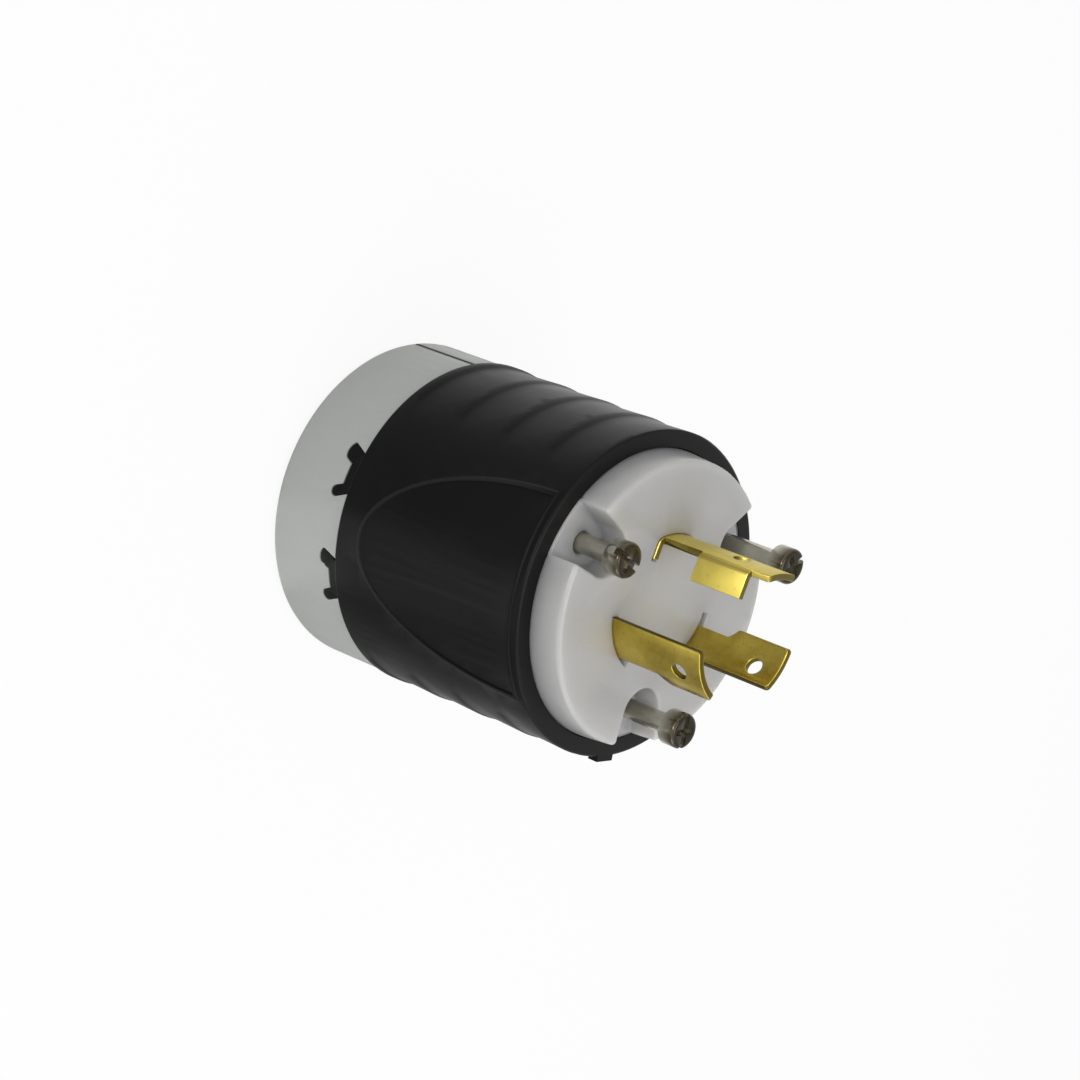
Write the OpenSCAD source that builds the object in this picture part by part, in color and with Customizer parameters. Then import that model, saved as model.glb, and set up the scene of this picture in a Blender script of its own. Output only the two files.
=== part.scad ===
// Three-blade twist-lock plug, standing on its cord end.
// The axis is Z: the cord end is at z = 0 and the blades point up.
// Y points to the ground blade, and the fixed clamp half is on the -X side.

/* [Clamp collar] */
// Length of the clamp collar, from the rear face to the grip shell
collar_len = 16.3; // [14:0.1:24]
// Outer diameter of the clamp halves at the grip shell
collar_d = 56.2; // [54:0.1:57]
// Outer diameter of the clamp halves at the rear
collar_rear_d = 56.4; // [53:0.1:57]
// Rounding of the rear outer edge
collar_round = 1.9; // [1:0.1:4]
// Width of the lap strip that each half has along one edge
lap_w = 5.8; // [2:0.1:8]
// Gap between the two clamp halves
split_gap = 0.7; // [0.2:0.05:1]
// Width and depth of the groove at the root of a lap strip
lap_groove = 0.4; // [0.2:0.05:0.8]
// Diameter of the cord passage
cord_d = 24; // [18:0.5:26]
// Height of the ribs that grip the cord
rib_h = 1.6; // [0.5:0.1:2.5]
// Width of a gripping rib at its root
rib_w = 3; // [1.5:0.1:4]

/* [Clamp screws] */
// Distance of a clamp screw from the axis
clamp_screw_y = 19.5; // [18:0.1:21]
// Thread diameter of a clamp screw
clamp_screw_d = 3.5; // [3:0.1:4]
// Head diameter of a clamp screw
clamp_head_d = 6.4; // [5:0.1:7]
// Head height of a clamp screw
clamp_head_h = 2.6; // [2:0.1:3.5]
// Place of the head's seat on the moving half
clamp_seat_x = 11; // [8:0.1:13]
// Length of a clamp screw under its head
clamp_screw_len = 27; // [24:0.5:29]
// Width across the flats of a clamp nut
nut_flats = 6.2; // [5.5:0.1:7]
// Thickness of a clamp nut
nut_t = 2.8; // [2:0.1:3.5]
// Distance of the nuts from the plane between the halves
nut_inset = 10; // [8:0.1:11]

/* [Claws] */
// Distance of a claw pair's middle from the plane of the clamp
claw_y = 9; // [8:0.1:10]
// Width between the roots of the two prongs of a pair
claw_root_w = 4.4; // [3:0.1:5]
// Width of a prong
prong_w = 1.7; // [1:0.1:2.2]
// Length of a prong, from the shell's edge to the middle of its round tip
prong_len = 3.1; // [2:0.1:4]
// Lean of a prong away from its pair's middle
prong_lean = 22; // [0:1:30]
// Length of the block between the prongs
claw_block_len = 1.7; // [1:0.1:2.5]
// Depth of the claws, inwards from the collar's surface
claw_depth = 3.2; // [2:0.1:4]

/* [Grip shell] */
// Length of the grip shell
shell_len = 42.2; // [38:0.1:50]
// Outer diameter at the shell's rear edge
shell_rear_d = 57; // [57:0.1:60]
// Outer diameter at the shell's front rim
shell_front_d = 55.9; // [55:0.1:58]
// Diameter of the shell's bore
shell_bore_d = 49.8; // [49:0.1:51]
// Thickness of the shell's rear wall
shell_wall = 3.2; // [2.5:0.1:4]
// Rounding of the shell's outer edges
shell_round = 0.6; // [0.3:0.1:1.2]
// Width of the nub under the front rim
nub_w = 3.7; // [2:0.1:5]
// Length of the nub
nub_len = 2; // [1:0.1:4]
// Height of the nub
nub_h = 0.7; // [0.3:0.1:1.5]
// Diameter of the cord hole in the rear wall
cord_hole_d = 23; // [20:0.5:24]

/* [Finger scoops] */
// Distance from the shell's rear edge to the first scoop
scoop_start = 2; // [1:0.1:4]
// Distance from one scoop to the next
scoop_pitch = 10.2; // [9:0.1:11]
// Number of scoops on each side
scoop_count = 4; // [3:1:4]
// Depth of a scoop at its deepest
scoop_depth = 0.4; // [0.3:0.05:1]
// Depth of the crests between the scoops
crest_depth = 0.1; // [0.05:0.01:0.25]
// Shift of the scoops' axis, which sets how far round they reach
scoop_shift = 1.4; // [1.2:0.05:5]

/* [Oval bead] */
// Half width of the oval
oval_half_w = 17.3; // [12:0.1:19]
// Length of the oval
oval_len = 35.8; // [25:0.1:37]
// Distance from the oval's straight end to the shell's rim
oval_inset = 1.5; // [1:0.1:3]
// Width of the bead
bead_w = 0.8; // [0.5:0.1:1.5]
// Height of the bead
bead_h = 0.25; // [0.1:0.05:0.5]

/* [Front housing] */
// Diameter of the housing at the shell's rim
housing_d = 49.4; // [48:0.1:49.6]
// Height of the face above the shell's rim
face_rise = 5.8; // [5:0.1:8]
// Narrowing of the raised side wall, on its radius
face_draft = 0.45; // [0.1:0.05:1]
// Rounding of the face's edge
face_round = 0.8; // [0.5:0.1:1.5]
// Thickness of the housing's front wall, from the face to the terminal pockets
front_wall = 7.3; // [6.5:0.1:9]
// Length of the terminal pockets
pocket_len = 13.5; // [12:0.1:16]
// Width of a terminal pocket
pocket_w = 13.2; // [12.5:0.1:15]
// Distance of a pocket's floor from the axis
pocket_floor_r = 8.6; // [7:0.1:9]

/* [Blades] */
// Inner radius of the blades
blade_r = 10.8; // [10.3:0.1:11.5]
// Thickness of the blades
blade_t = 1.1; // [1:0.1:1.6]
// Length of the line and neutral blades in front of the face
blade_len = 18.5; // [17:0.1:22]
// Length of the ground blade in front of the face
ground_len = 22.2; // [20:0.1:26]
// Start angle and end angle of the neutral blade's neck
neutral_span = [188, 226.3];
// Start angle and end angle of the line blade's neck
line_span = [309, 338.7];
// Start angle and end angle of the ground blade, without its bend
ground_span = [72, 105.5];
// Extra angle of the neutral blade's hook
neutral_hook = 10.5; // [5:0.5:12]
// Extra angle of the line blade's hook
line_hook = 9; // [5:0.5:12]
// Distance from the face to the neutral blade's hook
neutral_rise = 8.2; // [6:0.1:9]
// Distance from the face to the line blade's hook
line_rise = 6.5; // [6:0.1:9]
// Slope of a hook's underside, as its rise over its width
hook_slope = 0.9; // [0:0.05:1.2]
// Rounding of the corners at a blade's tip
tip_round = 0.7; // [0.4:0.1:1.5]
// Diameter of the hole near a blade's tip
tip_hole_d = 2.9; // [2.5:0.1:3.5]
// Distance of the hole from the face
tip_hole_rise = 13.8; // [13:0.1:14.5]
// Angle from a hook's end back to the hole
tip_hole_back = 24.5; // [20:0.5:27]
// Length of the ground blade's leg in the face, inwards
leg_depth = 2.7; // [2:0.1:3.5]
// Length of the ground blade's bent tab, inwards
tab_depth = 3.8; // [2:0.1:4.5]
// Direction of the bent tab
tab_angle = 256; // [250:1:270]
// Distance from the face to the bent tab
tab_rise = 8.3; // [6:0.1:9]
// Length of the bent tab, along the blade
tab_len = 10.4; // [8:0.1:12]
// Half angle of the wide tail inside the housing
tail_half = 27; // [26:0.5:29]
// Extra thickness of the tail on each side
tail_skin = 0.2; // [0.1:0.05:0.4]

/* [Terminals] */
// Thread diameter of a terminal screw
term_d = 3.4; // [3:0.1:4]
// Head diameter of a terminal screw
term_head_d = 7.4; // [6.5:0.1:8.5]
// Head height of a terminal screw
term_head_h = 2.6; // [2:0.1:3.2]
// Distance of a terminal screw from the pocket's rear end
term_rise = 6.5; // [5.5:0.1:8]
// Room for a wire between a blade's tail and its pressure plate
wire_room = 3.2; // [2:0.1:3.6]
// Side of the square pressure plate
plate_w = 9; // [8:0.1:10]
// Thickness of the pressure plate
plate_t = 1.2; // [1:0.1:1.6]

/* [Retainer and inserts] */
// Thickness of the blade retainer
retainer_t = 3.5; // [2.5:0.1:5]
// Diameter of the hole in the middle of the retainer
retainer_hole_d = 9; // [6:0.5:12]
// Outer diameter of a threaded insert
insert_d = 5.2; // [4.8:0.1:6]
// Length of a threaded insert
insert_len = 8; // [6:0.5:10]
// Diameter of a screw boss in the shell
boss_d = 9.5; // [8.5:0.1:10.5]
// Width of the web that ties a boss to the shell
web_w = 5; // [3:0.1:6]

/* [Assembly screws] */
// Distance of the assembly screws from the axis
screw_r = 18.5; // [18:0.1:19]
// How far each screw is backed out
screw_lift = [14.4, 7.1, 12];
// Thread diameter of an assembly screw
screw_d = 3.5; // [3.5:0.05:3.7]
// Diameter of the plain shank under the head
shank_d = 3.4; // [2.8:0.05:3.45]
// Length of a screw under its head
screw_len = 38; // [36:0.5:38]
// Length of the threaded end
thread_len = 16; // [12:0.5:20]
// Head diameter
head_d = 6; // [5.5:0.1:7]
// Head height
head_h = 3.2; // [2.5:0.1:4]
// Width of the screwdriver slot
slot_w = 1.1; // [0.8:0.1:1.4]
// Depth of the screwdriver slot
slot_depth = 1.3; // [0.8:0.1:1.8]
// Half width of the notch around a screw
notch_r = 4.2; // [3.8:0.1:5]
// Widening of the notch towards the rim, on each side
notch_flare = 0.8; // [0.3:0.1:1.5]
// Height of the notch's floor above the shell's rim
notch_rise = 0.1; // [0.1:0.1:1.5]

/* [Grommet] */
// Diameter of the hole in the grommet
grommet_hole_d = 15; // [10:0.5:20]
// Thickness of the grommet's flange
grommet_flange_t = 1.6; // [1:0.1:2.5]

/* [Clearances] */
// Clearance of a claw in its notch
claw_gap = 0.12; // [0.05:0.01:0.3]
// Clearance of a blade in its slot
blade_gap = 0.2; // [0.1:0.05:0.4]
// Extra angle of a slot past a hook
slot_over = 1; // [0.5:0.5:5]
// Clearance of a screw in a plain hole, on its diameter
hole_gap = 0.25; // [0.2:0.05:0.6]
// Clearance of a screw in a thread, on its diameter
thread_gap = 0.06; // [0.02:0.01:0.1]
// Clearance of an insert or grommet in its seat, on its diameter
seat_gap = 0.06; // [0.02:0.01:0.2]
// Clearance of the retainer in the shell, on its diameter
retainer_gap = 0.8; // [0.4:0.1:1.2]
// Clearance of a nut in its pocket
nut_gap = 0.1; // [0.05:0.01:0.2]

/* [Hidden] */
$fn = 96;

// Spare length that carries a cut past the face it opens
over = 1;

// Heights along the axis, from the rear face up
shell_z0 = collar_len;
shell_z1 = shell_z0 + shell_len;
face_z = shell_z1 + face_rise;
notch_z = shell_z1 + notch_rise;
pocket_z1 = face_z - front_wall;
pocket_z0 = pocket_z1 - pocket_len;
boss_z1 = pocket_z0 - retainer_t;
insert_z0 = boss_z1 - insert_len;
clamp_z = collar_len / 2;
term_z = pocket_z0 + term_rise;
tip_hole_z = face_z + tip_hole_rise;

// Radii and places across the axis
collar_r = collar_d / 2;
collar_rear_r = collar_rear_d / 2;
blade_r1 = blade_r + blade_t;
blade_mid_r = blade_r + blade_t / 2;
tail_r1 = blade_r1 + tail_skin;
plate_r0 = tail_r1 + wire_room;
term_seat_r = plate_r0 + plate_t;
term_tip_r = blade_r - 1;
nut_x = -nut_inset;
grommet_flange_r = screw_r - boss_d / 2 - hole_gap;
clamp_tip_x = clamp_seat_x - clamp_screw_len;

// Directions of the terminals and of the assembly screws
neutral_angle = 210;
line_angle = 330;
ground_angle = 90;
screw_angles = [30, 150, 270];

white_nylon = "#d9dad4";
black_nylon = "#1c1c1e";
brass = "#b89a3c";
nickel = "#b9b4a4";
rubber = "#2b2b2b";

function arc_points(centre, radius, from, to, steps = 6) = [
    for (i = [0:steps])
        let (a = from + (to - from) * i / steps)
        centre + radius * [cos(a), sin(a)]
];

// Outer radius of the grip shell at a height
function shell_r(z) =
    (shell_rear_d + (shell_front_d - shell_rear_d) * (z - shell_z0) / shell_len) / 2;

// Turns a flat outline so that its x is Y, its y is Z, and it is extruded along X
module along_x(x0, x1) {
    translate([x0, 0, 0])
        rotate([90, 0, 90])
            linear_extrude(x1 - x0) children();
}

// Ring sector between two angles and two heights
module arc_plate(span, r0, r1, z0, z1) {
    rotate([0, 0, span[0]])
        rotate_extrude(angle = span[1] - span[0])
            translate([r0, z0])
                square([r1 - r0, z1 - z0]);
}

// Places children at the distance and direction of one assembly screw
module at_screw(i) {
    rotate([0, 0, screw_angles[i]])
        translate([screw_r, 0, 0]) children();
}

// Round head with a slot and a cross recess, seated at z = 0
module slotted_head(d, h, w, depth, cross) {
    edge = h / 5;
    difference() {
        rotate_extrude()
            polygon(concat(
                [[0, 0], [d / 2, 0]],
                arc_points([d / 2 - edge, h - edge], edge, 0, 90),
                [[0, h]]
            ));
        translate([-d, -w / 2, h - depth]) cube([2 * d, w, depth + over]);
        if (cross)
            translate([-w / 2, -d / 3, h - depth]) cube([w, d / 1.5, depth + over]);
    }
}

// Grip shell

module shell_form(grow) {
    r0 = shell_rear_d / 2 + grow;
    r1 = shell_front_d / 2 + grow;
    rotate_extrude()
        polygon(concat(
            [[0, shell_z0]],
            arc_points([r0 - shell_round, shell_z0 + shell_round], shell_round, -90, 0),
            arc_points([r1 - shell_round, shell_z1 - shell_round], shell_round, 0, 90),
            [[0, shell_z1]]
        ));
}

// Depth of the scoops along one pitch, as [share of the pitch, share of the depth]
scoop_curve = [[0.05, 0.7], [0.14, 1], [0.4, 0.82], [0.7, 0.42]];

// Ring that cuts the row of finger scoops; its axis is shifted, so the scoops fade out sideways
module scoop_ring() {
    first_z = shell_z0 + scoop_start;
    crest = [for (k = [1:scoop_count]) k * scoop_pitch];
    far = shell_rear_d;
    ring = function (z, depth) [shell_r(z) + scoop_shift - depth, z];
    points = [
        for (k = [0:scoop_count - 1])
            for (s = concat([[0, 0]], scoop_curve))
                let (base = k == 0 && s[0] == 0 ? 0 : crest_depth)
                ring(
                    first_z + (k + s[0]) * scoop_pitch,
                    base + s[1] * (scoop_depth - crest_depth)
                )
    ];
    end_z = first_z + scoop_count * scoop_pitch;
    translate([0, -scoop_shift, 0])
        rotate_extrude()
            polygon(concat(
                points,
                [ring(end_z, crest_depth), [far, end_z], [far, first_z]]
            ));
}

// Half oval, pointing to the cord end, with its straight side at height z1
module half_oval(half_w, length, z1) {
    steps = 28;
    polygon([
        for (i = [0:steps])
            let (a = 180 * i / steps)
            [half_w * cos(a), z1 - length * sin(a)]
    ]);
}

module oval_bead() {
    z1 = shell_z1 - oval_inset;
    intersection() {
        difference() {
            shell_form(bead_h);
            shell_form(-over);
        }
        along_x(-shell_rear_d, -shell_front_d / 4)
            difference() {
                half_oval(oval_half_w, oval_len, z1);
                half_oval(oval_half_w - bead_w, oval_len - 2 * bead_w, z1 - bead_w);
            }
    }
}

// Small nub under the front rim
module rim_nub() {
    rim_r = shell_front_d / 2;
    translate([-nub_w / 2, -rim_r - nub_h, shell_z1 - nub_len])
        cube([nub_w, nub_h + 2 * over, nub_len]);
}

// Outline of the claws on one side, grown by a clearance where it cuts their notches
module claw_outline(grow) {
    for (pair = [-1, 1])
        translate([pair * claw_y, collar_len]) {
            block_w = claw_root_w + prong_w / 2 + 2 * grow;
            translate([-block_w / 2, -claw_block_len - grow])
                square([block_w, claw_block_len + grow + over]);
            for (side = [-1, 1])
                translate([side * claw_root_w / 2, 0])
                    rotate(side * prong_lean) {
                        translate([-prong_w / 2 - grow, -prong_len])
                            square([prong_w + 2 * grow, prong_len]);
                        translate([0, -prong_len])
                            circle(d = prong_w + 2 * grow);
                    }
        }
}

module claws() {
    intersection() {
        difference() {
            cylinder(r = collar_r, h = collar_len + over);
            translate([0, 0, -over])
                cylinder(r = collar_r - claw_depth, h = collar_len + 3 * over);
        }
        along_x(-collar_r, -collar_r / 2) claw_outline(0);
    }
}

module screw_boss(i) {
    wall_r = shell_bore_d / 2 + over;
    height = boss_z1 - shell_z0 - shell_wall;
    translate([0, 0, shell_z0 + shell_wall]) {
        at_screw(i) cylinder(d = boss_d, h = height);
        rotate([0, 0, screw_angles[i]])
            translate([screw_r, -web_w / 2, 0])
                cube([wall_r - screw_r, web_w, height]);
    }
}

module grip_shell() {
    color(black_nylon)
    difference() {
        union() {
            difference() {
                union() {
                    difference() {
                        shell_form(0);
                        for (side = [0, 180])
                            rotate([0, 0, side]) scoop_ring();
                    }
                    for (side = [0, 180])
                        rotate([0, 0, side]) {
                            oval_bead();
                            claws();
                        }
                    rim_nub();
                }
                translate([0, 0, shell_z0 + shell_wall])
                    cylinder(d = shell_bore_d, h = shell_len);
                translate([0, 0, shell_z0 - over])
                    cylinder(d = cord_hole_d, h = shell_wall + 2 * over);
            }
            for (i = [0:2]) screw_boss(i);
        }
        for (i = [0:2])
            at_screw(i) {
                translate([0, 0, insert_z0])
                    cylinder(d = insert_d, h = insert_len + over);
                translate([0, 0, shell_z0 + shell_wall])
                    cylinder(d = screw_d + hole_gap, h = boss_z1 - shell_z0);
            }
    }
}

// Clamp halves

// Ring of the collar, with ribs round the cord passage
module collar_form() {
    cord_r = cord_d / 2;
    rib = function (z) [[cord_r, z + rib_w / 2], [cord_r - rib_h, z], [cord_r, z - rib_w / 2]];
    rotate_extrude()
        polygon(concat(
            [[cord_r, 0]],
            arc_points([collar_rear_r - collar_round, collar_round], collar_round, -90, 0),
            [[collar_r, collar_len], [cord_r, collar_len]],
            rib(collar_len * 3 / 4),
            rib(collar_len / 4)
        ));
}

module claw_notches() {
    depth = claw_depth + claw_gap;
    difference() {
        along_x(-collar_r - over, -collar_r / 2) claw_outline(claw_gap);
        translate([0, 0, -over])
            cylinder(r = collar_r - depth, h = collar_len + 3 * over);
    }
}

// Hole for a clamp screw, from the head's seat to past its tip
module clamp_screw_hole(side) {
    translate([clamp_tip_x - over, side * clamp_screw_y, clamp_z])
        rotate([0, 90, 0])
            cylinder(d = clamp_screw_d + hole_gap, h = clamp_screw_len + 2 * over);
}

// Groove along the root of a lap strip
module lap_line() {
    deep_r = collar_r - lap_groove;
    rear_r = collar_rear_r - lap_groove - collar_round;
    difference() {
        translate([-(lap_w + lap_groove) / 2, -collar_d, -over])
            cube([lap_groove, collar_d - cord_d / 2, collar_len + 2 * over]);
        rotate_extrude()
            polygon(concat(
                [[0, -2 * over], [rear_r, -2 * over]],
                arc_points([rear_r, collar_round], collar_round, -90, 0),
                [[deep_r, collar_len], [deep_r, collar_len + 2 * over], [0, collar_len + 2 * over]]
            ));
    }
}

// Half of the collar on the -X side, with its lap strip along the lower edge
module clamp_half_form() {
    difference() {
        intersection() {
            collar_form();
            union() {
                translate([-collar_d - (lap_w + split_gap) / 2, 0, -over])
                    cube([collar_d, collar_d, collar_len + 2 * over]);
                translate([-collar_d + (lap_w - split_gap) / 2, -collar_d, -over])
                    cube([collar_d, collar_d, collar_len + 2 * over]);
            }
        }
        lap_line();
        claw_notches();
    }
}

module clamp_fixed_half() {
    slot_half = nut_flats / 2 + nut_gap;
    slot_z0 = clamp_z - nut_flats / sqrt(3) - nut_gap;
    color(white_nylon)
    difference() {
        clamp_half_form();
        for (side = [-1, 1]) {
            clamp_screw_hole(side);
            translate([nut_x - nut_t - nut_gap, side * clamp_screw_y - slot_half, slot_z0])
                cube([nut_t + 2 * nut_gap, 2 * slot_half, collar_len]);
        }
    }
}

module clamp_moving_half() {
    color(white_nylon)
    difference() {
        rotate([0, 0, 180]) clamp_half_form();
        for (side = [-1, 1]) {
            clamp_screw_hole(side);
            translate([clamp_seat_x, side * clamp_screw_y, clamp_z])
                rotate([0, 90, 0])
                    cylinder(d = clamp_head_d + 2 * hole_gap, h = collar_r);
        }
    }
}

module clamp_screw(side) {
    color(nickel)
    translate([clamp_seat_x, side * clamp_screw_y, clamp_z])
        rotate([0, 90, 0]) {
            slotted_head(clamp_head_d, clamp_head_h, slot_w, slot_depth, false);
            translate([0, 0, -clamp_screw_len])
                cylinder(d = clamp_screw_d, h = clamp_screw_len + slot_w / 2);
        }
}

module clamp_nut(side) {
    color(nickel)
    translate([nut_x - nut_t, side * clamp_screw_y, clamp_z])
        rotate([0, 90, 0])
            difference() {
                cylinder(d = nut_flats * 2 / sqrt(3), h = nut_t, $fn = 6);
                translate([0, 0, -over])
                    cylinder(d = clamp_screw_d + thread_gap, h = nut_t + 2 * over);
            }
}

module cord_grommet() {
    wall_z1 = shell_z0 + shell_wall;
    color(rubber)
    rotate_extrude()
        polygon([
            [grommet_hole_d / 2, shell_z0],
            [(cord_hole_d - seat_gap) / 2, shell_z0],
            [(cord_hole_d - seat_gap) / 2, wall_z1],
            [grommet_flange_r, wall_z1],
            [grommet_flange_r, wall_z1 + grommet_flange_t],
            [grommet_hole_d / 2, wall_z1 + grommet_flange_t]
        ]);
}

// Front housing and blades

// Cut for one blade slot, open from the pocket to the face
module blade_slot(span, hook) {
    margin = blade_gap / blade_mid_r * 180 / PI;
    arc_plate(
        [span[0] - margin, span[1] + hook + slot_over],
        blade_r - blade_gap, blade_r1 + blade_gap,
        pocket_z1 - over, face_z + over
    );
}

// Bent leg of the ground blade, grown by a clearance where it cuts the slot
module ground_leg(depth, grow, z0, z1) {
    lead = 2;
    start = ground_span[1] - lead;
    turn = ground_span[1] + lead;
    step = blade_t / 50;
    r0 = blade_r - grow + step;
    r1 = blade_r1 + grow - step;
    corner = r0 * [cos(turn), sin(turn)];
    away = (depth + grow) * [cos(tab_angle), sin(tab_angle)];
    bend = arc_points(corner, r1 - r0, turn, tab_angle - 90);
    translate([0, 0, z0])
        linear_extrude(z1 - z0)
            polygon(concat(
                [r0 * [cos(start), sin(start)], r1 * [cos(start), sin(start)]],
                bend,
                [bend[len(bend) - 1] + away, corner + away, corner]
            ));
}

module terminal_pocket(angle) {
    rotate([0, 0, angle])
        translate([pocket_floor_r, -pocket_w / 2, pocket_z0 - over])
            cube([housing_d, pocket_w, pocket_len + over]);
}

// Open end of a screw notch, from inside its round end to past the rim
module notch_outline() {
    start = notch_r * 0.99;
    reach = housing_d / 2;
    end = start + notch_flare * reach / (reach - screw_r);
    polygon([[0, -start], [reach, -end], [reach, end], [0, start]]);
}

module front_housing() {
    r0 = housing_d / 2;
    r1 = r0 - face_draft;
    color(white_nylon)
    difference() {
        rotate_extrude()
            polygon(concat(
                [[0, pocket_z0], [r0, pocket_z0], [r0, shell_z1]],
                arc_points([r1 - face_round, face_z - face_round], face_round, 0, 90),
                [[0, face_z]]
            ));
        blade_slot(neutral_span, neutral_hook);
        blade_slot(line_span, line_hook + 2 * slot_over);
        blade_slot(ground_span, 0);
        ground_leg(leg_depth, blade_gap, pocket_z1 - over, face_z + over);
        for (angle = [neutral_angle, line_angle, ground_angle]) terminal_pocket(angle);
        for (i = [0:2]) {
            at_screw(i) {
                translate([0, 0, pocket_z0 - over])
                    cylinder(d = screw_d + hole_gap, h = face_z);
                translate([0, 0, notch_z])
                    cylinder(r = notch_r, h = face_z);
                translate([0, 0, notch_z])
                    linear_extrude(face_z) notch_outline();
            }
        }
    }
}

module blade_retainer() {
    wire_r = tail_r1 + blade_gap;
    color(white_nylon)
    difference() {
        translate([0, 0, boss_z1])
            cylinder(d = shell_bore_d - retainer_gap, h = retainer_t);
        translate([0, 0, boss_z1 - over])
            cylinder(d = retainer_hole_d, h = retainer_t + 2 * over);
        for (angle = [neutral_angle, line_angle, ground_angle])
            rotate([0, 0, angle])
                translate([wire_r, -plate_w / 2, boss_z1 - over])
                    cube([shell_bore_d, plate_w, retainer_t + 2 * over]);
        for (i = [0:2])
            at_screw(i)
                translate([0, 0, boss_z1 - over])
                    cylinder(d = screw_d + hole_gap, h = retainer_t + 2 * over);
    }
}

// Radial hole through a blade
module radial_hole(d, angle, z) {
    rotate([0, 0, angle])
        translate([blade_r - over, 0, z])
            rotate([0, 90, 0])
                cylinder(d = d, h = blade_t + 2 * over);
}

// Cut that leaves the neck of a blade narrow under its sloped hook
module hook_relief(angle, hook_z) {
    far = blade_r1;
    rotate([0, 0, angle])
        along_x(0, 2 * blade_r)
            polygon([
                [0, pocket_z0],
                [0, hook_z],
                [far, hook_z + hook_slope * far],
                [far, pocket_z0]
            ]);
}

// Cut that rounds one corner of a blade's tip; side is 1 where the blade lies at larger angles
module tip_corner(angle, side, z) {
    curve = tip_round * 1.05;
    rotate([0, 0, angle])
        along_x(0, 2 * blade_r)
            translate([side * tip_round, z - tip_round])
                difference() {
                    translate([side > 0 ? -tip_round - over : 0, 0])
                        square([tip_round + over, tip_round + over]);
                    circle(r = curve);
                }
}

// Wide tail of a blade, between the retainer and the pocket's front
module blade_tail(angle) {
    arc_plate(
        [angle - tail_half, angle + tail_half],
        blade_r - tail_skin, blade_r1 + tail_skin,
        pocket_z0, pocket_z1
    );
}

// Plain blade, from inside its tail to its tip
module blade_strip(span, tip_z) {
    difference() {
        arc_plate(span, blade_r, blade_r1, pocket_z0 + tail_skin, tip_z);
        tip_corner(span[0], 1, tip_z);
        tip_corner(span[1], -1, tip_z);
    }
}

module hooked_blade(span, hook, rise, angle) {
    color(brass)
    difference() {
        union() {
            blade_tail(angle);
            difference() {
                blade_strip([span[0], span[1] + hook], face_z + blade_len);
                hook_relief(span[1], face_z + rise);
            }
        }
        radial_hole(term_d + thread_gap, angle, term_z);
        radial_hole(tip_hole_d, span[1] + hook - tip_hole_back, tip_hole_z);
    }
}

module neutral_blade() {
    hooked_blade(neutral_span, neutral_hook, neutral_rise, neutral_angle);
}

module line_blade() {
    hooked_blade(line_span, line_hook, line_rise, line_angle);
}

module ground_blade() {
    tab_z = face_z + tab_rise;
    color(brass)
    difference() {
        union() {
            blade_tail(ground_angle);
            blade_strip(ground_span, face_z + ground_len);
            ground_leg(leg_depth, 0, pocket_z1 - tail_skin, face_z + blade_gap);
            ground_leg(tab_depth, 0, tab_z, tab_z + tab_len);
        }
        radial_hole(term_d + thread_gap, ground_angle, term_z);
        radial_hole(tip_hole_d, ground_angle, tip_hole_z);
    }
}

// Terminals

module terminal_screw(angle) {
    color(nickel)
    rotate([0, 0, angle])
        translate([term_seat_r, 0, term_z])
            rotate([0, 90, 0]) {
                slotted_head(term_head_d, term_head_h, slot_w, slot_depth, true);
                translate([0, 0, term_tip_r - term_seat_r])
                    cylinder(d = term_d, h = term_seat_r - term_tip_r + slot_w / 2);
            }
}

module pressure_plate(angle) {
    color(brass)
    rotate([0, 0, angle])
        difference() {
            translate([plate_r0, -plate_w / 2, term_z - plate_w / 2])
                cube([plate_t, plate_w, plate_w]);
            translate([plate_r0 - over, 0, term_z])
                rotate([0, 90, 0])
                    cylinder(d = term_d + hole_gap, h = plate_t + 2 * over);
        }
}

// Assembly screws and their inserts

module assembly_screw(i) {
    color(nickel)
    at_screw(i)
        translate([0, 0, notch_z + screw_lift[i]]) {
            slotted_head(head_d, head_h, slot_w, slot_depth, true);
            translate([0, 0, -screw_len])
                cylinder(d = screw_d, h = thread_len);
            translate([0, 0, -screw_len])
                cylinder(d = shank_d, h = screw_len + slot_w / 2);
        }
}

module threaded_insert(i) {
    color(brass)
    at_screw(i)
        translate([0, 0, insert_z0])
            difference() {
                cylinder(d = insert_d - seat_gap, h = insert_len);
                translate([0, 0, -over])
                    cylinder(d = screw_d + thread_gap, h = insert_len + 2 * over);
            }
}

grip_shell();
clamp_fixed_half();
clamp_moving_half();
cord_grommet();
clamp_screw(1);  // clamp_screw_upper
clamp_screw(-1);  // clamp_screw_lower
clamp_nut(1);  // clamp_nut_upper
clamp_nut(-1);  // clamp_nut_lower
front_housing();
blade_retainer();
neutral_blade();
line_blade();
ground_blade();
terminal_screw(neutral_angle);  // neutral_terminal_screw
terminal_screw(line_angle);  // line_terminal_screw
terminal_screw(ground_angle);  // ground_terminal_screw
pressure_plate(neutral_angle);  // neutral_pressure_plate
pressure_plate(line_angle);  // line_pressure_plate
pressure_plate(ground_angle);  // ground_pressure_plate
for (i = [0:2])
    assembly_screw(i);
for (i = [0:2])
    threaded_insert(i);
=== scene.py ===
"""Looks of a three-blade twist-lock plug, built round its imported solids."""

import math

import bmesh
import bpy
from mathutils import Matrix, Vector


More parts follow.
